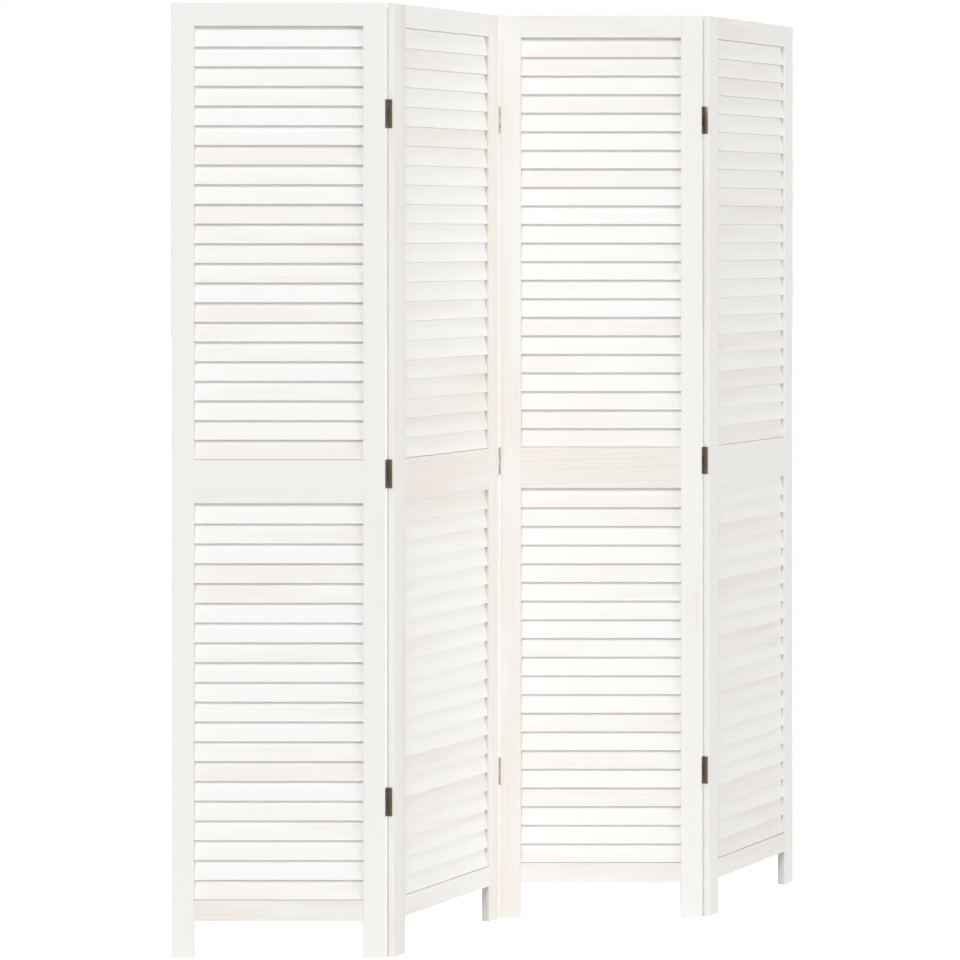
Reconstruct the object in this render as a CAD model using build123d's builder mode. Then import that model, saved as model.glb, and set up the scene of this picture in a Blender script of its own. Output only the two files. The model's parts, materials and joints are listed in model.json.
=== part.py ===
"""A folding screen: four louvred wooden panels joined by three rows of small butt hinges.

Millimetres, +Z up. The origin is on the floor under the middle of the standing zigzag, X runs
along the screen and -Y is its front. Every panel is built in its own plane: X along the panel
from its left edge, Y from the middle of its thickness towards its back, Z up.
"""

from build123d import *
import os
from math import cos, radians, sin

os.makedirs("parts", exist_ok=True)

# The frame of one panel
panel_width = 372.0
panel_height = 1660.0
panel_thickness = 14.0
stile_width = 39.0
top_rail_height = 40.0
mid_rail_height = 75.0
mid_rail_base = 791.0
bottom_rail_height = 36.0
leg_length = 65.0
arris = 1.0

# Mortise and tenon between rail and stile
tenon_length = 20.0
tenon_thickness = 5.0
tenon_shoulder = 8.0
tenon_fit = 0.1
glue_space = 1.0

# Louvre slats, housed at both ends in the stiles
slat_thickness = 4.0
slat_width = 36.0
slat_tilt = 11.0
slat_pitch_aim = 34.3
slat_rail_gap = 0.2
slat_seat = 4.5
slat_fit = 0.15
slat_end_space = 0.5

# How the panels stand and fold
fold_at_rest = 60.0
panel_gap = 1.2
fold_clearance = 0.4

# Butt hinges, three on every joint
hinge_length = 50.0
low_hinge_height = 270.0
middle_hinge_above_rail_base = 50.0
top_hinge_below_top = 192.0
leaf_width = 11.4
leaf_thickness = 0.9
pin_radius = 0.8
pin_flats = 10
pin_fit = 0.05
knuckle_wall = 0.9
knuckle_gap = 0.3
knuckle_clearance = 0.45
gain_end_space = 0.2

# Worked out from the sizes above
opening_width = panel_width - 2 * stile_width
top_rail_base = panel_height - top_rail_height
rails = {
    "top_rail": (top_rail_base, top_rail_height),
    "mid_rail": (mid_rail_base, mid_rail_height),
    "bottom_rail": (leg_length, bottom_rail_height),
}
fields = {
    "upper_slats": (mid_rail_base + mid_rail_height, top_rail_base),
    "lower_slats": (leg_length + bottom_rail_height, mid_rail_base),
}
bore_radius = pin_radius + pin_fit
knuckle_radius = bore_radius + knuckle_wall
knuckle_space = knuckle_radius + knuckle_clearance
knuckle_length = (hinge_length - 2 * knuckle_gap) / 3
knuckle_step = knuckle_length + knuckle_gap
pin_depth = panel_thickness / 2 + fold_clearance
hinge_bases = {
    "low": low_hinge_height - hinge_length / 2,
    "middle": mid_rail_base + middle_hinge_above_rail_base - hinge_length / 2,
    "top": panel_height - top_hinge_below_top - hinge_length / 2,
}

# The pins stand behind the first and third joints and in front of the second, so the screen
# folds up like an accordion.
BACK = 1
FRONT = -1
LEFT = 1
RIGHT = -1


def slat_heights(base, top):
    """Heights of the slats' centres in a field, evenly spread from the lower rail to the upper."""
    tilt = radians(slat_tilt)
    rise = slat_width * cos(tilt) + slat_thickness * sin(tilt)
    room = top - base - rise - 2 * slat_rail_gap
    steps = round(room / slat_pitch_aim)
    lowest = base + slat_rail_gap + rise / 2
    return [lowest + room * step / steps for step in range(steps + 1)]


def pin_place(side, pin_side):
    """Where a joint's pin stands beside the panel's left or right edge, in the panel's plane."""
    edge = 0.0 if side == LEFT else panel_width
    return (edge - side * panel_gap / 2, pin_side * pin_depth)


def panel_at(pin, turn, side, pin_side):
    """The plane of a panel turned about Z whose left or right edge stands at a pin."""
    along = Vector(1, 0, 0).rotate(Axis.Z, turn)
    offset = Vector(*pin_place(side, pin_side)).rotate(Axis.Z, turn)
    return Plane(origin=pin - offset, x_dir=along, z_dir=(0, 0, 1))


def zigzag(depth):
    """The planes of the four panels when the middle joint's pin stands at this depth."""
    turn = fold_at_rest / 2
    middle_pin = Vector(0, depth, 0)
    second = panel_at(middle_pin, turn, RIGHT, FRONT)
    third = panel_at(middle_pin, -turn, LEFT, FRONT)
    first_pin = second.from_local_coords(Vector(*pin_place(LEFT, BACK), 0))
    last_pin = third.from_local_coords(Vector(*pin_place(RIGHT, BACK), 0))
    first = panel_at(first_pin, -turn, RIGHT, BACK)
    fourth = panel_at(last_pin, turn, LEFT, BACK)
    return [first, second, third, fourth]


def across(panel, distance):
    """The upright plane across a panel at a distance along it, X to the back and Y up."""
    origin = panel.from_local_coords(Vector(distance, 0, 0))
    return Plane(origin=origin, x_dir=panel.y_dir, z_dir=panel.x_dir)


def stile(panel, side, pin_side):
    """A stile with housings for the slats, mortises for the rails and gains for its hinges."""
    edge = 0.0 if side == LEFT else panel_width
    with BuildPart() as piece:
        with BuildSketch(panel) as section:
            with Locations((edge + side * stile_width / 2, 0)):
                Rectangle(stile_width, panel_thickness)
            outer = section.vertices().sort_by(Axis.X)[:: side][:2]
            chamfer(outer, arris)
        extrude(amount=panel_height)
        with BuildSketch(across(panel, edge + side * stile_width)):
            for base, top in fields.values():
                with Locations(*[(0, height) for height in slat_heights(base, top)]):
                    Rectangle(
                        slat_thickness + 2 * slat_fit,
                        slat_width + 2 * slat_fit,
                        rotation=-slat_tilt,
                    )
        extrude(amount=-side * (slat_seat + slat_end_space), mode=Mode.SUBTRACT)
        with BuildSketch(across(panel, edge + side * stile_width)):
            for base, height in rails.values():
                with Locations((0, base + height / 2)):
                    Rectangle(
                        tenon_thickness + 2 * tenon_fit,
                        height - 2 * tenon_shoulder + 2 * tenon_fit,
                    )
        extrude(amount=-side * (tenon_length + glue_space), mode=Mode.SUBTRACT)
        if pin_side:
            gain_bases = [base - gain_end_space for base in hinge_bases.values()]
            with BuildSketch(*[panel.offset(base) for base in gain_bases]):
                with Locations((edge + side * leaf_thickness / 2, 0)):
                    Rectangle(leaf_thickness, panel_thickness)
                with Locations(pin_place(side, pin_side)):
                    Rectangle(2 * knuckle_space, 2 * knuckle_space)
            extrude(amount=hinge_length + 2 * gain_end_space, mode=Mode.SUBTRACT)
    return piece


def rail(panel, base, height):
    """A rail between the stiles, with a tenon at each end."""
    with BuildPart() as piece:
        with BuildSketch(across(panel, stile_width)):
            with Locations((0, base + height / 2)):
                Rectangle(panel_thickness, height)
        extrude(amount=opening_width)
        with BuildSketch(across(panel, stile_width - tenon_length)):
            with Locations((0, base + height / 2)):
                Rectangle(tenon_thickness, height - 2 * tenon_shoulder)
        extrude(amount=opening_width + 2 * tenon_length)
    return piece


def slats(panel, base, top):
    """One field of louvre slats, each leaning back from its lower edge."""
    with BuildPart() as piece:
        with BuildSketch(across(panel, stile_width - slat_seat)):
            with Locations(*[(0, height) for height in slat_heights(base, top)]):
                Rectangle(slat_thickness, slat_width, rotation=-slat_tilt)
        extrude(amount=opening_width + 2 * slat_seat)
    return piece


def hinge_leaf(panel, base, side, pin_side, knuckles):
    """A hinge leaf let into one edge of a panel, with its knuckles round the pin."""
    pin = pin_place(side, pin_side)
    plate_x = pin[0] + side * (panel_gap + leaf_thickness) / 2
    with BuildPart() as piece:
        with BuildSketch(panel.offset(base)):
            with Locations((plate_x, pin[1] - pin_side * (knuckle_space + leaf_width) / 2)):
                Rectangle(leaf_thickness, leaf_width - knuckle_space)
        extrude(amount=hinge_length)
        with BuildSketch(*[panel.offset(base + knuckle_step * place) for place in knuckles]):
            with Locations(pin):
                Circle(knuckle_radius)
            with Locations((plate_x, pin[1] - pin_side * knuckle_space / 2)):
                Rectangle(leaf_thickness, knuckle_space)
            with Locations(pin):
                RegularPolygon(bore_radius, pin_flats, major_radius=False, mode=Mode.SUBTRACT)
        extrude(amount=knuckle_length)
    return piece


def hinge_pin(panel, base, side, pin_side):
    """The pin that runs through a hinge's three knuckles."""
    with BuildPart() as piece:
        with BuildSketch(panel.offset(base)):
            with Locations(pin_place(side, pin_side)):
                RegularPolygon(pin_radius, pin_flats)
        extrude(amount=hinge_length)
    return piece


def save(piece, name):
    """Labels a finished piece and writes it."""
    piece.part.label = name
    export_step(piece.part, f"parts/{name}.step")


# The zigzag is centred in depth by the corners of its panels.
corner_depths = [
    plane.from_local_coords(Vector(x, y, 0)).Y
    for plane in zigzag(0)
    for x in (0, panel_width)
    for y in (-panel_thickness / 2, panel_thickness / 2)
]
panels = zigzag(-(min(corner_depths) + max(corner_depths)) / 2)

# The side on which each panel's left and right pins stand, or 0 at a free edge
pin_sides = [(0, BACK), (BACK, FRONT), (FRONT, BACK), (BACK, 0)]

for number, (panel, (left_pin, right_pin)) in enumerate(zip(panels, pin_sides), 1):
    save(stile(panel, LEFT, left_pin), f"panel_{number}_left_stile")
    save(stile(panel, RIGHT, right_pin), f"panel_{number}_right_stile")
    for name, (base, height) in rails.items():
        save(rail(panel, base, height), f"panel_{number}_{name}")
    for name, (base, top) in fields.items():
        save(slats(panel, base, top), f"panel_{number}_{name}")
    for level, base in hinge_bases.items():
        if left_pin:
            leaf = hinge_leaf(panel, base, LEFT, left_pin, [1])
            save(leaf, f"joint_{number - 1}_{level}_hinge_right_leaf")
        if right_pin:
            leaf = hinge_leaf(panel, base, RIGHT, right_pin, [0, 2])
            save(leaf, f"joint_{number}_{level}_hinge_left_leaf")
            save(hinge_pin(panel, base, RIGHT, right_pin), f"joint_{number}_{level}_hinge_pin")
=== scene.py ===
# %% [markdown]
# # A whitewashed louvred folding screen
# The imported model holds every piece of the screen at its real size: stiles, rails, slats,
# hinge leaves and pins. This lesson dresses them. Each wooden piece gets the softened edges
# of sanded timber and its own stretch of grain, each hinge gets rounded leaves and screws,
# and a plain pale studio lights them.

import json
import math
import random

import bmesh
import bpy
import numpy as np
from mathutils import Matrix, Vector

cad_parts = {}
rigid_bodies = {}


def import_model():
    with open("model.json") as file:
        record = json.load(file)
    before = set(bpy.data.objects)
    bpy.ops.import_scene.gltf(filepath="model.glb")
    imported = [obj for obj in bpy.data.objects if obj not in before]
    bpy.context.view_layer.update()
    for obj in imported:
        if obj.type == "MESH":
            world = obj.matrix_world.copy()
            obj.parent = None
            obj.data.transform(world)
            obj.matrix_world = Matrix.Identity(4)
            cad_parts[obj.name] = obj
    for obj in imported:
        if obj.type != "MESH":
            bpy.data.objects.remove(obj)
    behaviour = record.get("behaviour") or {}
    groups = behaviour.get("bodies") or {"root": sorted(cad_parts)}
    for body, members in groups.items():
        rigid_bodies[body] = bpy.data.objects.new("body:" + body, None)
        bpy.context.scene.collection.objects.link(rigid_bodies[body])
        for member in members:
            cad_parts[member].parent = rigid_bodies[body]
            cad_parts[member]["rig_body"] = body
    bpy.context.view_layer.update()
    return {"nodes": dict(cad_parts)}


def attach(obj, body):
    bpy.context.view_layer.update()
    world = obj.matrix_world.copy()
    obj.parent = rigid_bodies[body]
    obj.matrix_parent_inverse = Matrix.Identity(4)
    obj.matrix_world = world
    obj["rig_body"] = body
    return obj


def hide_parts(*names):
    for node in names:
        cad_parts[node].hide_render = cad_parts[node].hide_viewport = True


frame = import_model()
nodes = frame["nodes"]
mm = 0.001
print("pieces in the model:", len(nodes))

# %% [markdown]
# The panels stand in a zigzag, so no panel lines up with the world's axes. Wood grain and
# screws are easier to place in a panel's own plane: X along the panel, Y from the middle of
# its thickness to its back, Z up. A rail is a straight box, so the main direction of its
# corners is the direction of its panel, and singular value decomposition finds it.

# %% Find the plane of each panel
PANELS = (1, 2, 3, 4)


def panel_plane(number):
    """The matrix from a panel's own plane to the frame, from the floor under its middle."""
    corners = np.array([v.co for v in nodes[f"panel_{number}_mid_rail"].data.vertices])
    middle = (corners.min(0) + corners.max(0)) / 2
    along = np.linalg.svd(corners[:, :2] - middle[:2])[2][0]
    along = along * math.copysign(1, along[0])
    turn = math.atan2(along[1], along[0])
    return Matrix.Translation((middle[0], middle[1], 0)) @ Matrix.Rotation(turn, 4, "Z")


planes = {f"panel_{number}": panel_plane(number) for number in PANELS}
for body, plane in planes.items():
    print(body, "turned by", round(math.degrees(plane.to_euler().z), 3), "degrees")


def in_plane(node, body=None):
    """A node's corners in the plane of its own panel, or of another body's panel."""
    to_plane = planes[body or nodes[node]["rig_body"]].inverted()
    return np.array([to_plane @ v.co for v in nodes[node].data.vertices])


# %% [markdown]
# Nodes in a material are easier to read when each takes one line. `place` adds a node and
# fills its inputs, either with a value or with a link from another node. `maths` does the
# same for arithmetic, and the other helpers are short names for nodes that come back often.

# %% Helpers: single nodes
def fill(tree, socket, value):
    """Links a value that comes from another node to the socket, or sets it there."""
    if isinstance(value, bpy.types.NodeSocket):
        tree.links.new(value, socket)
    else:
        socket.default_value = value


def place(tree, kind, inputs=None, **settings):
    """Adds a shader node, sets its options and fills or links its inputs."""
    node = tree.nodes.new("ShaderNode" + kind)
    for option, value in settings.items():
        setattr(node, option, value)
    for name, value in (inputs or {}).items():
        fill(tree, node.inputs[name], value)
    return node


def maths(tree, operation, *values, clamp=False):
    """One arithmetic node. Returns its output."""
    inputs = dict(enumerate(values))
    return place(tree, "Math", inputs, operation=operation, use_clamp=clamp).outputs[0]


def smooth_step(tree, value, low, high):
    """0 below low, 1 above high, and a soft curve between. Returns its output."""
    inputs = {"Value": value, "From Min": low, "From Max": high}
    return place(tree, "MapRange", inputs, interpolation_type="SMOOTHSTEP").outputs["Result"]


# The Mix node has sockets of the same name for each kind of data, so they go by number.
MIX_FACTOR = 0
MIX_A = 6
MIX_B = 7
MIX_RESULT = 2


def mix_colours(tree, share, first, second):
    """Blends two colours. Returns its output."""
    inputs = {MIX_FACTOR: share, MIX_A: first, MIX_B: second}
    return place(tree, "Mix", inputs, data_type="RGBA").outputs[MIX_RESULT]


def stretched_noise(tree, board, along, across, detail):
    """Noise with so many features a metre along and across the grain. Returns its output."""
    scale = {0: board, 1: (along, across, across)}
    vector = place(tree, "VectorMath", scale, operation="MULTIPLY").outputs[0]
    inputs = {"Vector": vector, "Scale": 1.0, "Detail": detail}
    return place(tree, "TexNoise", inputs).outputs["Fac"]


# %% [markdown]
# Wood grain, whitewash and lacquer each come back in more than one material. Copied nodes
# would drift apart when one copy is changed, so each effect is a node group: a box of nodes
# with named inputs and outputs, built once and placed in each material with its own values.

# %% Helpers: node groups
def place_group(tree, group, **inputs):
    """Adds a node group and fills or links its inputs, with _ for a space. Returns outputs."""
    node = tree.nodes.new("ShaderNodeGroup")
    node.node_tree = group
    for name, value in inputs.items():
        fill(tree, node.inputs[name.replace("_", " ")], value)
    return node.outputs


def new_group(name, inputs, outputs):
    """An empty node group with the sockets given as {name: type}. Returns it and its ends."""
    tree = bpy.data.node_groups.new(name, "ShaderNodeTree")
    for socket, kind in inputs.items():
        tree.interface.new_socket(socket, in_out="INPUT", socket_type="NodeSocket" + kind)
    for socket, kind in outputs.items():
        tree.interface.new_socket(socket, in_out="OUTPUT", socket_type="NodeSocket" + kind)
    start = tree.nodes.new("NodeGroupInput").outputs
    end = tree.nodes.new("NodeGroupOutput")
    return tree, start, end


def finish_group(tree, end, **sockets):
    """Links the results to the group's outputs."""
    for name, socket in sockets.items():
        tree.links.new(socket, end.inputs[name])
    print("group", tree.name, "has", len(tree.nodes), "nodes")
    return tree


# %% [markdown]
# Every finish here works the same way: a group gives colour, roughness and height, and the
# shader in the material takes them. The height goes through a Bump node, because relief as
# fine as pores would need millions of faces.

# %% Helpers: materials
def new_material(name):
    """A material with nodes. Returns it, its node tree and its shader."""
    material = bpy.data.materials.new(name)
    material.use_nodes = True
    print("material", name)
    return material, material.node_tree, material.node_tree.nodes["Principled BSDF"]


def link_finish(tree, shader, finish, bump, depth):
    """Links a group's colour, roughness and height to the shader."""
    inputs = {"Height": finish["Height"], "Strength": bump, "Distance": depth}
    normal = place(tree, "Bump", inputs).outputs["Normal"]
    tree.links.new(finish["Color"], shader.inputs["Base Color"])
    tree.links.new(finish["Roughness"], shader.inputs["Roughness"])
    tree.links.new(normal, shader.inputs["Normal"])


# %% [markdown]
# Timber is a solid, so its figure is worked out in three dimensions and every face of a
# board agrees with its neighbours. Growth rings are cylinders round the heart of the trunk.
# A board cuts through them at a slant, which gives long arches on wide faces and straight
# lines on narrow ones. Fibres and pores are noise that is stretched along the grain.

# %% Group: the figure of the timber
# Features a metre along the grain, features a metre across it, and levels of detail
WAVER = (2.2, 16.0, 2.0)
FIBRES = (14.0, 1100.0, 3.0)
PORES = (90.0, 2600.0, 1.0)
# How far the rings waver from a true circle
WAVER_REACH = 22 * mm
# Where in a ring, from 0 to 1, its line comes up and where it ends
LINE_RISES = (0.25, 0.92)
LINE_ENDS = (1.0, 0.92)
PORE_EDGE = (0.62, 0.74)
FAINTEST_RING = 0.15


def timber_figure():
    """Rings of uneven strength, fibres and pores. Boards are in metres, X along the grain."""
    tree, start, end = new_group(
        "timber_figure",
        {"Board": "Vector", "Ring Width": "Float"},
        {"Rings": "Float", "Fibres": "Float", "Pores": "Float"},
    )
    board = start["Board"]
    across = place(tree, "VectorMath", {0: board, 1: (0, 1, 1)}, operation="MULTIPLY")
    radius = place(tree, "VectorMath", {0: across.outputs[0]}, operation="LENGTH").outputs["Value"]
    waver = maths(tree, "MULTIPLY", stretched_noise(tree, board, *WAVER), WAVER_REACH)
    count = maths(tree, "DIVIDE", maths(tree, "ADD", radius, waver), start["Ring Width"])
    ring = maths(tree, "FRACT", count)
    rise = smooth_step(tree, ring, *LINE_RISES)
    fall = smooth_step(tree, ring, *LINE_ENDS)
    year = place(tree, "TexWhiteNoise", {"W": maths(tree, "FLOOR", count)}, noise_dimensions="1D")
    chance = year.outputs["Value"]
    strength = maths(tree, "MULTIPLY_ADD", chance, 1 - FAINTEST_RING, FAINTEST_RING)
    rings = maths(tree, "MULTIPLY", maths(tree, "MULTIPLY", rise, fall), strength)
    fibres = stretched_noise(tree, board, *FIBRES)
    pores = smooth_step(tree, stretched_noise(tree, board, *PORES), *PORE_EDGE)
    return finish_group(tree, end, Rings=rings, Fibres=fibres, Pores=pores)


timber_figure_group = timber_figure()

# %% [markdown]
# Whitewash is thin paint that is wiped along the grain. It lies thick over soft early wood,
# lets the harder late wood show as faint straw lines, and wears through a little on edges
# that hands touch. Where it was wiped thin, a whole patch of the board looks warmer. The
# group mixes the two colours by how well each spot is covered.

# %% Group: whitewash over timber
# Features a metre along the grain, features a metre across it, and levels of detail
PATCHES = (3.0, 26.0, 3.0)
PATCH_EDGE = (0.46, 0.78)
STREAK_EDGE = (0.35, 0.7)
# How much of a grain line comes from the rings. Streaks of fibre give the rest.
RING_SHARE = 0.75
# How much of a wiped patch follows its grain lines. The rest is even.
PATCH_LINES = 0.6
# How much timber shows in grain lines, in pores, on edges and in the streaks of edges
LINE_SHOWS = 0.12
PORE_SHOWS = 0.2
EDGE_SHOWS = 0.05
EDGE_STREAKS = 0.3
PAINT_ROUGHNESS = 0.46
STREAK_ROUGHNESS = 0.12
# Heights as shares of the grain's depth
PORE_DEPTH = 0.6
RING_HEIGHT = 0.25


def whitewash():
    """Colour, roughness and height of wiped white paint over a timber figure."""
    tree, start, end = new_group(
        "whitewash",
        {
            "Board": "Vector",
            "Rings": "Float",
            "Fibres": "Float",
            "Pores": "Float",
            "Tone": "Float",
            "Edge": "Float",
            "Show Through": "Float",
            "Paint": "Color",
            "Timber": "Color",
        },
        {"Color": "Color", "Roughness": "Float", "Height": "Float"},
    )
    noise = stretched_noise(tree, start["Board"], *PATCHES)
    patch = smooth_step(tree, maths(tree, "ADD", noise, start["Tone"]), *PATCH_EDGE)
    streak = smooth_step(tree, start["Fibres"], *STREAK_EDGE)
    fibre_line = maths(tree, "MULTIPLY", streak, 1 - RING_SHARE)
    line = maths(tree, "MULTIPLY_ADD", start["Rings"], RING_SHARE, fibre_line)
    thin = maths(tree, "MULTIPLY_ADD", line, PATCH_LINES, 1 - PATCH_LINES)
    wiped = maths(tree, "MULTIPLY", patch, thin)
    bare = maths(tree, "MULTIPLY_ADD", line, LINE_SHOWS, wiped)
    bare = maths(tree, "MULTIPLY_ADD", start["Pores"], PORE_SHOWS, bare)
    worn = maths(tree, "MULTIPLY_ADD", streak, EDGE_STREAKS, EDGE_SHOWS)
    rubbed = maths(tree, "MULTIPLY", start["Edge"], worn)
    bare = maths(tree, "ADD", bare, rubbed)
    share = maths(tree, "MULTIPLY", bare, start["Show Through"], clamp=True)
    color = mix_colours(tree, share, start["Paint"], start["Timber"])
    rough = maths(tree, "MULTIPLY_ADD", streak, STREAK_ROUGHNESS, PAINT_ROUGHNESS)
    low = maths(tree, "MULTIPLY_ADD", start["Pores"], -PORE_DEPTH, start["Fibres"])
    height = maths(tree, "MULTIPLY_ADD", start["Rings"], RING_HEIGHT, low)
    return finish_group(tree, end, Color=color, Roughness=rough, Height=height)


whitewash_group = whitewash()

# %% [markdown]
# The frame and the slats share both groups, but the frame is planed stock with wider rings
# and the slats are cut thin and painted on all sides, so each has its own values. The board
# coordinates, the tone of a board and its worn edges are stored in the mesh as attributes.

# %% Materials: whitewashed frame and slats
GRAIN_DEPTH = 0.2 * mm
PAINT_SPECULAR = 0.35
STRAW = (0.72, 0.58, 0.40)


def whitewashed(name, ring_width, show_through, paint, timber, bump):
    """A whitewashed timber finish that reads the board attributes of a mesh."""
    material, tree, shader = new_material(name)
    board = place(tree, "Attribute", attribute_name="board").outputs["Vector"]
    tone = place(tree, "Attribute", attribute_name="tone").outputs["Fac"]
    edge = place(tree, "Attribute", attribute_name="edge").outputs["Fac"]
    figure = place_group(tree, timber_figure_group, Board=board, Ring_Width=ring_width)
    wash = place_group(
        tree,
        whitewash_group,
        Board=board,
        Rings=figure["Rings"],
        Fibres=figure["Fibres"],
        Pores=figure["Pores"],
        Tone=tone,
        Edge=edge,
        Show_Through=show_through,
        Paint=(*paint, 1),
        Timber=(*timber, 1),
    )
    link_finish(tree, shader, wash, bump, GRAIN_DEPTH)
    shader.inputs["Specular IOR Level"].default_value = PAINT_SPECULAR
    return material


frame_finish = whitewashed(
    "whitewashed_frame",
    ring_width=7 * mm,
    show_through=0.36,
    paint=(0.885, 0.876, 0.86),
    timber=STRAW,
    bump=0.35,
)
slat_finish = whitewashed(
    "whitewashed_slat",
    ring_width=5 * mm,
    show_through=0.30,
    paint=(0.90, 0.898, 0.888),
    timber=STRAW,
    bump=0.3,
)

# %% [markdown]
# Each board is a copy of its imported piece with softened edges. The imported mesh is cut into
# triangles, so the copy is first welded and its flat faces made whole again. Then only the
# long outer corners are rounded: a rail's ends are tight against the stiles and stay sharp.
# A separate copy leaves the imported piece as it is, for the physics.

# %% Boards with softened edges
# Corners nearer than this are one corner
WELD = 0.001 * mm
# Faces that turn by less are one flat face, and edges that turn by more are corners
FLAT = math.radians(0.5)
SHARP = math.radians(60)


def whole_faces(mesh):
    """The mesh in bmesh, welded, with each flat face in as few pieces as it can be."""
    work = bmesh.new()
    work.from_mesh(mesh)
    bmesh.ops.remove_doubles(work, verts=work.verts, dist=WELD)
    bmesh.ops.dissolve_limit(work, angle_limit=FLAT, verts=work.verts, edges=work.edges)
    return work


def long_corners(work, shortest):
    """The outer corner edges that are at least so long."""
    return [
        edge
        for edge in work.edges
        if len(edge.link_faces) == 2
        and edge.calc_length() >= shortest
        and edge.calc_face_angle_signed() > SHARP
    ]


def round_edges(work, edges, radius, steps):
    """Rounds the edges and marks the new faces as edge faces in a layer of the mesh."""
    worn = work.faces.layers.float.new("edge")
    result = bmesh.ops.bevel(
        work,
        geom=edges,
        offset=radius,
        segments=steps,
        profile=0.5,
        affect="EDGES",
        clamp_overlap=True,
    )
    for face in result["faces"]:
        face[worn] = 1.0
        face.smooth = True
    return work


# %% [markdown]
# Every board comes from a different place in the tree. A random but repeatable draw, seeded
# by the name of the piece, gives each board its distance from the heart of the trunk, a
# small slant and a tone. Slats are separate boards too, so each solid of a field draws anew.
# The coordinates are stored in the mesh, because one shared material can't know its board.

# %% Board coordinates
# In metres, along the trunk and out from its heart
TRUNK_LENGTH = 9.0
HEART_NEAR = 0.05
HEART_FAR = 0.14
SLANT = math.radians(1.6)
TONE_SPREAD = 0.16


def pieces_of(work):
    """The separate solids in the mesh, from the lowest up, each as a list of vertices."""
    left = set(work.verts)
    found = []
    while left:
        group = set()
        border = [left.pop()]
        while border:
            vertex = border.pop()
            group.add(vertex)
            near = {edge.other_vert(vertex) for edge in vertex.link_edges} & left
            left -= near
            border.extend(near)
        found.append(sorted(group, key=lambda v: v.index))
    return sorted(found, key=lambda group: min(v.co.z for v in group))


def board_matrix(body, upright, draw):
    """From the frame to coordinates with X along the grain and the trunk's heart at 0."""
    stand_up = Matrix(((0, 0, 1), (1, 0, 0), (0, 1, 0)))
    lie_flat = Matrix(((1, 0, 0), (0, 0, 1), (0, 1, 0)))
    order = (stand_up if upright else lie_flat).to_4x4()
    around = draw.uniform(0, math.tau)
    far = draw.uniform(HEART_NEAR, HEART_FAR)
    heart = (draw.uniform(0, TRUNK_LENGTH), far * math.cos(around), far * math.sin(around))
    tilt = Matrix.Rotation(draw.uniform(-SLANT, SLANT), 4, "Z")
    return Matrix.Translation(heart) @ tilt @ order @ planes[body].inverted()


def write_board(work, body, upright, name):
    """Stores the board coordinates and tone of each solid in layers of the mesh."""
    board = work.verts.layers.float_vector.new("board")
    tone = work.verts.layers.float.new("tone")
    for number, solid in enumerate(pieces_of(work)):
        draw = random.Random(f"{name} {number}")
        to_board = board_matrix(body, upright, draw)
        height = 0 if upright else sum(v.co.z for v in solid) / len(solid)
        shade = draw.gauss(0, TONE_SPREAD)
        for vertex in solid:
            vertex[board] = to_board @ (vertex.co - Vector((0, 0, height)))
            vertex[tone] = shade


# %% [markdown]
# A dressed piece rides on the body of its panel, so it moves when the screen folds. It
# stands for a imported piece, which is hidden but kept for the physics. Changing the
# imported mesh itself would be shorter, but would change the real sizes.

# %% A dressed piece
def dress(name, work, material, slot, body, *stands_for):
    """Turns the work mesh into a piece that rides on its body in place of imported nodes."""
    mesh = bpy.data.meshes.new(name)
    work.to_mesh(mesh)
    work.free()
    mesh.materials.append(material)
    piece = bpy.data.objects.new(name, mesh)
    bpy.context.scene.collection.objects.link(piece)
    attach(piece, body)
    if stands_for:
        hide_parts(*stands_for)
    return piece


# %% [markdown]
# Each panel has two stiles, three rails and two fields of slats. The stiles' long corners
# are sanded to a soft edge. Rails and slats have finer ones, because wide edges would show
# as dark lines where two pieces meet. Only long edges are rounded, so mortises, housings
# and tenons stay crisp.

# %% Dress the wooden pieces
STILE_EDGE = 0.7 * mm
RAIL_EDGE = 0.3 * mm
SLAT_EDGE = 0.3 * mm
EDGE_STEPS = 2
# The shortest edges that are rounded, in metres
UPRIGHT_SHORTEST = 0.1
LEVEL_SHORTEST = 0.2

# Whether the grain is upright, the shortest edge to round, its radius, the finish, the slot
STILE = (True, UPRIGHT_SHORTEST, STILE_EDGE, frame_finish, "frame_wood")
RAIL = (False, LEVEL_SHORTEST, RAIL_EDGE, frame_finish, "frame_wood")
SLATS = (False, LEVEL_SHORTEST, SLAT_EDGE, slat_finish, "slat_wood")
PARTS = {
    "left_stile": STILE,
    "right_stile": STILE,
    "top_rail": RAIL,
    "mid_rail": RAIL,
    "bottom_rail": RAIL,
    "upper_slats": SLATS,
    "lower_slats": SLATS,
}

for body in planes:
    for part, (upright, shortest, radius, material, slot) in PARTS.items():
        node = f"{body}_{part}"
        work = whole_faces(nodes[node].data)
        round_edges(work, long_corners(work, shortest), radius, EDGE_STEPS)
        write_board(work, body, upright, node)
        piece = dress(f"{node}_wood", work, material, slot, body, node)
    print(body, "dressed; last piece has", len(piece.data.polygons), "faces")

# %% [markdown]
# The hinges are small narrow butts of lacquered steel in antique bronze. The flat leaves
# keep their brown lacquer, with a mottle from the dip. The barrel stands proud of the wood,
# so its outer side is given brighter metal: partly wear from hands and walls, partly a
# painted highlight that stands in for the glint of the round barrel. Both finishes share
# the mottle, so it is a group.

# %% Group: mottled lacquer
# Features a metre and levels of detail
CLOUD = {"Scale": 420.0, "Detail": 4.0}
SPECKLE = {"Scale": 2600.0, "Detail": 2.0}
CLOUD_EDGE = (0.3, 0.75)
# How much clouds and speckles add to the wear
CLOUD_SHARE = 0.35
SPECKLE_SHARE = 0.1
# Takes back most of what they add on average
EVEN_OUT = 0.15
LACQUER_ROUGHNESS = 0.28
SPECKLE_ROUGHNESS = 0.25


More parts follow.
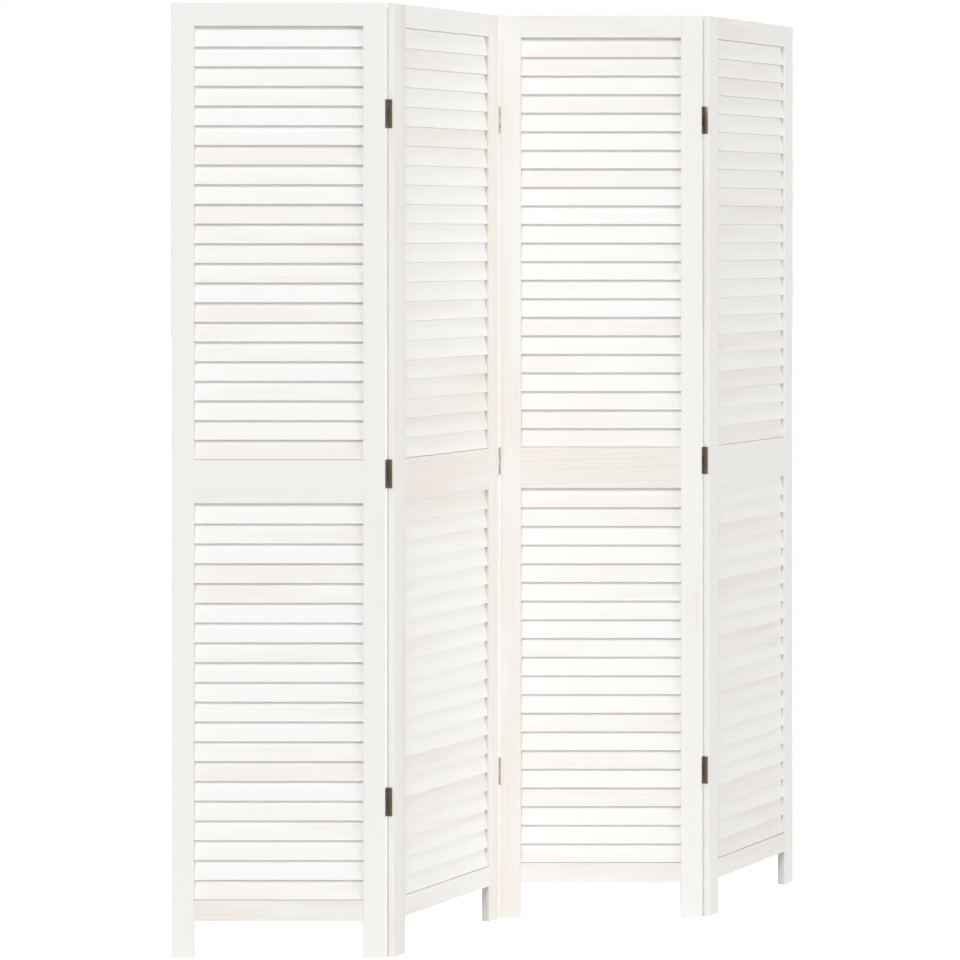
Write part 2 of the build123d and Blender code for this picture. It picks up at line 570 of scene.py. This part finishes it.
def mottled_lacquer():
    """Colour and roughness of dark lacquer with bright metal where the Wear input asks; that is
    real wear, and on the knuckles also a painted highlight.
    """
    tree, start, end = new_group(
        "mottled_lacquer",
        {"Wear": "Float", "Dark": "Color", "Bright": "Color"},
        {"Color": "Color", "Roughness": "Float", "Height": "Float"},
    )
    place_in = place(tree, "TexCoord").outputs["Object"]
    cloud = place(tree, "TexNoise", {"Vector": place_in, **CLOUD}).outputs["Fac"]
    speckle = place(tree, "TexNoise", {"Vector": place_in, **SPECKLE}).outputs["Fac"]
    spread = smooth_step(tree, cloud, *CLOUD_EDGE)
    wear = maths(tree, "SUBTRACT", start["Wear"], EVEN_OUT)
    part = maths(tree, "MULTIPLY_ADD", spread, CLOUD_SHARE, wear)
    fine = maths(tree, "MULTIPLY", speckle, SPECKLE_SHARE)
    share = maths(tree, "ADD", part, fine, clamp=True)
    color = mix_colours(tree, share, start["Dark"], start["Bright"])
    rough = maths(tree, "MULTIPLY_ADD", speckle, SPECKLE_ROUGHNESS, LACQUER_ROUGHNESS)
    return finish_group(tree, end, Color=color, Roughness=rough, Height=cloud)


mottled_lacquer_group = mottled_lacquer()

# %% [markdown]
# Leaf, knuckle, screw and pin are the same metal with different wear. On the knuckles the
# bright wear is partly a painted highlight. Lacquer isn't metal, so the less it is worn, the
# lower the metallic value. That value is the same all over a piece, so it is set on the
# shader and not in the group.

# %% Materials: antique bronze
LACQUER_BUMP = 0.15
LACQUER_DEPTH = 0.05 * mm
DARK_BRONZE = (0.2, 0.16, 0.115)
MID_BRONZE = (0.36, 0.3, 0.23)
# Bright metal: real wear on screws and pins, and on the knuckles also a painted highlight
WORN_BRONZE_AND_PAINTED_GLINT = (0.66, 0.61, 0.54)


def bronze(name, wear, bright, metallic):
    """An antique bronze finish with so much wear, which shows the bright metal."""
    material, tree, shader = new_material(name)
    lacquer = place_group(
        tree,
        mottled_lacquer_group,
        Wear=wear,
        Dark=(*DARK_BRONZE, 1),
        Bright=(*bright, 1),
    )
    link_finish(tree, shader, lacquer, LACQUER_BUMP, LACQUER_DEPTH)
    shader.inputs["Metallic"].default_value = metallic
    return material


leaf_finish = bronze("antique_bronze_leaf", wear=0.1, bright=MID_BRONZE, metallic=0.45)
# The knuckles' heavy wear is partly real rubbing and partly a painted highlight for their glint
knuckle_wear_and_painted_glint = bronze("worn_bronze_knuckle_painted_glint", wear=0.8, bright=WORN_BRONZE_AND_PAINTED_GLINT, metallic=0.85)
screw_finish = bronze("bronze_screw", wear=0.15, bright=WORN_BRONZE_AND_PAINTED_GLINT, metallic=0.8)
pin_finish = bronze("worn_bronze_pin", wear=0.75, bright=WORN_BRONZE_AND_PAINTED_GLINT, metallic=0.9)

# %% [markdown]
# A leaf is a copy of its imported piece too. Faces that meet at a small angle belong to the
# round knuckles and are shaded smooth. Those that look away from the panel take the worn
# finish, bright metal that is partly wear and partly a painted highlight, and the rest of
# the leaf takes the lacquered one. The pins keep their imported mesh, of which only the two
# ends show.

# %% Dress the hinge leaves and pins
LEAF_EDGE = 0.12 * mm
LEAF_SHORTEST = 3 * mm
LEAF_STEPS = 1
# Faces that meet at an angle between these two belong to a round knuckle
LEAST_CURVE = math.radians(1)
MOST_CURVE = math.radians(30)
LACQUER_SLOT = 0
WORN_AND_GLINT_SLOT = 1
# How far outwards a face looks, from -1 to 1, where the worn side with its painted highlight
# starts
WORN_AND_GLINT_SIDE = 0.25


def pin_of(leaf):
    """The middle of a leaf's pin, in the plane of the leaf's own panel."""
    pin = leaf.replace("left_leaf", "pin").replace("right_leaf", "pin")
    return in_plane(pin, nodes[leaf]["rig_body"]).mean(0)


def finish_knuckles_with_painted_glint(work, outwards):
    """Shades the knuckles smooth and gives their outer side the worn finish, which is partly a
    painted highlight.
    """
    for edge in work.edges:
        if len(edge.link_faces) != 2:
            continue
        if LEAST_CURVE < edge.calc_face_angle() < MOST_CURVE:
            for face in edge.link_faces:
                face.smooth = True
                # The outer side gets bright metal: wear, and partly a painted highlight
                worn = face.normal.dot(outwards) > WORN_AND_GLINT_SIDE
                face.material_index = WORN_AND_GLINT_SLOT if worn else LACQUER_SLOT


for node in sorted(nodes):
    if node.endswith("_hinge_pin"):
        nodes[node].material_slots[0].material = pin_finish
    if node.endswith("_leaf"):
        work = whole_faces(nodes[node].data)
        round_edges(work, long_corners(work, LEAF_SHORTEST), LEAF_EDGE, LEAF_STEPS)
        body = nodes[node]["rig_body"]
        outwards = planes[body].to_3x3() @ Vector((0, math.copysign(1, pin_of(node)[1]), 0))
        work.normal_update()
        finish_knuckles_with_painted_glint(work, outwards)
        piece = dress(f"{node}_bronze", work, leaf_finish, "hinge_leaf", body, node)
        piece.data.materials.append(knuckle_wear_and_painted_glint)
print("last leaf has", len(piece.data.polygons), "faces")

# %% [markdown]
# Two small countersunk screws hold each leaf. The top of a head is a height field on a
# disc: rings of points that follow a shallow dome and drop inside a cross. That makes a
# real recess without a boolean operation. Under it the rings narrow to a shank and a point.

# %% The shape of a screw
HEAD_RADIUS = 2.1 * mm
HEAD_DOME = 0.15 * mm
RECESS_DEPTH = 0.7 * mm
RECESS_REACH = 1.3 * mm
RECESS_HALF_WIDTH = 0.3 * mm
SCREW_SIDES = 32
HEAD_RINGS = 9
SHANK_RADIUS = 1.0 * mm
SHANK_LENGTH = 11 * mm
HEAD_RIM = 0.15 * mm
HEAD_DEPTH = 1.2 * mm
POINT_STARTS = 0.8 * SHANK_LENGTH
# Depth under the leaf's face and radius of each ring below the head's top
SHANK = ((HEAD_RIM, HEAD_RADIUS), (HEAD_DEPTH, SHANK_RADIUS), (POINT_STARTS, SHANK_RADIUS))


def head_height(y, z):
    """Height of the head's top over the leaf at a place on its disc."""
    far = math.hypot(y, z)
    dome = HEAD_DOME * (1 - (far / HEAD_RADIUS) ** 2)
    if far >= RECESS_REACH or min(abs(y), abs(z)) >= RECESS_HALF_WIDTH:
        return dome
    return dome - RECESS_DEPTH * math.sqrt(1 - far / RECESS_REACH)


def add_screw(work, seat):
    """Adds a screw to the work mesh, with its head's axis along the X of the seat."""

    def ring(radius, height):
        """A ring of points round the axis. Its height may depend on the place."""
        turns = [math.tau * side / SCREW_SIDES for side in range(SCREW_SIDES)]
        places = [(radius * math.cos(turn), radius * math.sin(turn)) for turn in turns]
        return [work.verts.new(seat @ Vector((height(y, z), y, z))) for y, z in places]

    steps = range(1, HEAD_RINGS + 1)
    rings = [ring(HEAD_RADIUS * step / HEAD_RINGS, head_height) for step in steps]
    rings += [ring(radius, lambda y, z, deep=deep: -deep) for deep, radius in SHANK]
    top = work.verts.new(seat @ Vector((head_height(0, 0), 0, 0)))
    point = work.verts.new(seat @ Vector((-SHANK_LENGTH, 0, 0)))
    for side in range(SCREW_SIDES):
        after = (side + 1) % SCREW_SIDES
        work.faces.new((top, rings[0][side], rings[0][after]))
        work.faces.new((point, rings[-1][after], rings[-1][side]))
        for inner, outer in zip(rings, rings[1:]):
            work.faces.new((inner[side], outer[side], outer[after], inner[after]))


# %% [markdown]
# Each leaf's screws sit on its middle line, one above and one below the hinge's centre. The
# leaf's own mesh tells where its flat plate lies, so the screws follow when the hinge
# changes. Nobody lines up the crosses by hand, so each screw is turned by a random amount.

# %% Place the screws
SCREW_FROM_MIDDLE = 14 * mm


def screw_seats(leaf):
    """Where the two screws of a leaf sit, each with X out of the leaf's face."""
    body = nodes[leaf]["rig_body"]
    corners = in_plane(leaf)
    axis = pin_of(leaf)
    ends = corners[:, 1].min(), corners[:, 1].max()
    far_end = max(ends, key=lambda y: abs(y - axis[1]))
    plate = corners[np.abs(corners[:, 1] - far_end) < WELD]
    out = math.copysign(1, corners[:, 0].mean())
    face = max(plate[:, 0], key=lambda x: x * out)
    barrel = min(abs(y - axis[1]) for y in ends)
    middle = (far_end + axis[1] + math.copysign(barrel, far_end - axis[1])) / 2
    spin = Matrix.Rotation(0 if out > 0 else math.pi, 4, "Z")
    for step in (-1, 1):
        place_at = Vector((face, middle, axis[2] + step * SCREW_FROM_MIDDLE))
        draw = random.Random(f"{leaf} {step}").uniform(0, math.pi)
        turn = Matrix.Rotation(draw, 4, "X")
        yield planes[body] @ Matrix.Translation(place_at) @ spin @ turn


for node in sorted(nodes):
    if node.endswith("_leaf"):
        work = bmesh.new()
        for seat in screw_seats(node):
            add_screw(work, seat)
        bmesh.ops.recalc_face_normals(work, faces=work.faces)
        body = nodes[node]["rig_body"]
        piece = dress(f"{node}_screws", work, screw_finish, "hinge_leaf", body)
print("screws of the last leaf have", len(piece.data.polygons), "faces")

# %% [markdown]
# The studio is a pale seamless floor under a white sky. A floor that is white enough by its
# own light would also fill the shadows from below. So, like the lit ground of a product
# photograph, floor and sky glow white for the camera alone.

# %% Floor
# In metres, from the middle to each side
FLOOR_REACH = 30.0
FLOOR_SQUARES = 8
FLOOR_COLOR = (0.8, 0.8, 0.8, 1)
FLOOR_ROUGHNESS = 0.9
FLOOR_GLOW = 0.75
WHITE = (1, 1, 1, 1)


def glow_for_camera(tree, glow, otherwise):
    """A number that is one value for what the camera sees and another for other rays."""
    ray = place(tree, "LightPath").outputs["Is Camera Ray"]
    return maths(tree, "MULTIPLY_ADD", ray, glow - otherwise, otherwise)


def make_floor():
    """A wide pale floor under the feet."""
    work = bmesh.new()
    squares = {"x_segments": FLOOR_SQUARES, "y_segments": FLOOR_SQUARES}
    bmesh.ops.create_grid(work, size=FLOOR_REACH, **squares)
    mesh = bpy.data.meshes.new("studio_floor")
    work.to_mesh(mesh)
    work.free()
    material, tree, shader = new_material("pale_floor")
    shader.inputs["Base Color"].default_value = FLOOR_COLOR
    shader.inputs["Roughness"].default_value = FLOOR_ROUGHNESS
    shader.inputs["Emission Color"].default_value = WHITE
    tree.links.new(glow_for_camera(tree, FLOOR_GLOW, 0.0), shader.inputs["Emission Strength"])
    mesh.materials.append(material)
    floor = bpy.data.objects.new("studio_floor", mesh)
    bpy.context.scene.collection.objects.link(floor)
    print("floor reaches", FLOOR_REACH, "m each way")


make_floor()

# %% [markdown]
# Two soft lamps light the screen from so far away that every panel gets the same from them.
# Lamps at arm's length would make the nearest panel the brightest. The main lamp stands high
# on the left: it lights the first and third panels, which turn towards it, and leaves a
# shadow under each of their slats. The second, a little warmer, stands low on the right,
# square to the other two panels, so those show paler gaps. A third lamp lights the back,
# which the first two can't reach, and a weak even sky fills the rest.

# %% Light
SKY_STRENGTH = 0.27
SKY_GLOW = 1.0
LAMPS = {
    "high_left_lamp": {
        "strength": 1.68,
        "color": (0.99, 1, 1),
        "spread": math.radians(25),
        "comes_from": Vector((-0.62, -0.50, 0.60)),
    },
    "low_right_lamp": {
        "strength": 1.95,
        "color": (1, 0.985, 0.965),
        "spread": math.radians(38),
        "comes_from": Vector((0.6, -0.8, 0.1)),
    },
    "rear_lamp": {
        "strength": 1.2,
        "color": (1, 1, 1),
        "spread": math.radians(30),
        "comes_from": Vector((0.1, 0.95, 0.12)),
    },
}


def add_lamp(name, strength, color, spread, comes_from):
    """A soft lamp, far enough away to light every panel alike."""
    lamp = bpy.data.lights.new(name, "SUN")
    lamp.energy = strength
    lamp.color = color
    lamp.angle = spread
    stand = bpy.data.objects.new(name, lamp)
    stand.rotation_euler = (-comes_from).to_track_quat("-Z", "Y").to_euler()
    bpy.context.scene.collection.objects.link(stand)
    print("lamp", name, "strength", strength)


def light_studio():
    """A weak even sky and the lamps."""
    world = bpy.data.worlds.new("studio_sky")
    world.use_nodes = True
    tree = world.node_tree
    sky = tree.nodes["Background"].inputs
    sky["Color"].default_value = WHITE
    tree.links.new(glow_for_camera(tree, SKY_GLOW, SKY_STRENGTH), sky["Strength"])
    bpy.context.scene.world = world
    for name, settings in LAMPS.items():
        add_lamp(name, **settings)
    bpy.context.scene.view_settings.view_transform = "Standard"


light_studio()

# %% [markdown]
# The photograph looks level at the screen, square to the first and third panels. Its
# upright edges are parallel, so the lens is shifted down and the camera isn't tilted, which
# would make them lean. The camera's place is measured from the first panel's right front
# edge.

# %% Camera
# In pixels of the photograph
PHOTO_SIZE = 960
FOCAL_PIXELS = 3201
HORIZON_ROW = 232.09
# The width of the film in millimetres, as Blender counts it
SENSOR = 36.0
# In metres
CAMERA_DISTANCE = 5.560
CAMERA_RIGHT_OF_EDGE = 0.16395
CAMERA_HEIGHT = 1.262


def make_camera():
    """A level camera square to the first panel."""
    plane = planes["panel_1"]
    corners = in_plane("panel_1_right_stile")
    right = corners[:, 0].max() + CAMERA_RIGHT_OF_EDGE
    front = corners[:, 1].min() - CAMERA_DISTANCE
    stand = plane @ Vector((right, front, CAMERA_HEIGHT))
    data = bpy.data.cameras.new("camera")
    data.sensor_width = SENSOR
    data.lens = SENSOR * FOCAL_PIXELS / PHOTO_SIZE
    data.shift_y = (HORIZON_ROW - PHOTO_SIZE / 2) / PHOTO_SIZE
    camera = bpy.data.objects.new("camera", data)
    camera.location = stand
    camera.rotation_euler = (math.radians(90), 0, plane.to_euler().z)
    bpy.context.scene.collection.objects.link(camera)
    bpy.context.scene.camera = camera
    print("camera at", tuple(round(x, 3) for x in stand), "lens", round(data.lens, 1))


make_camera()
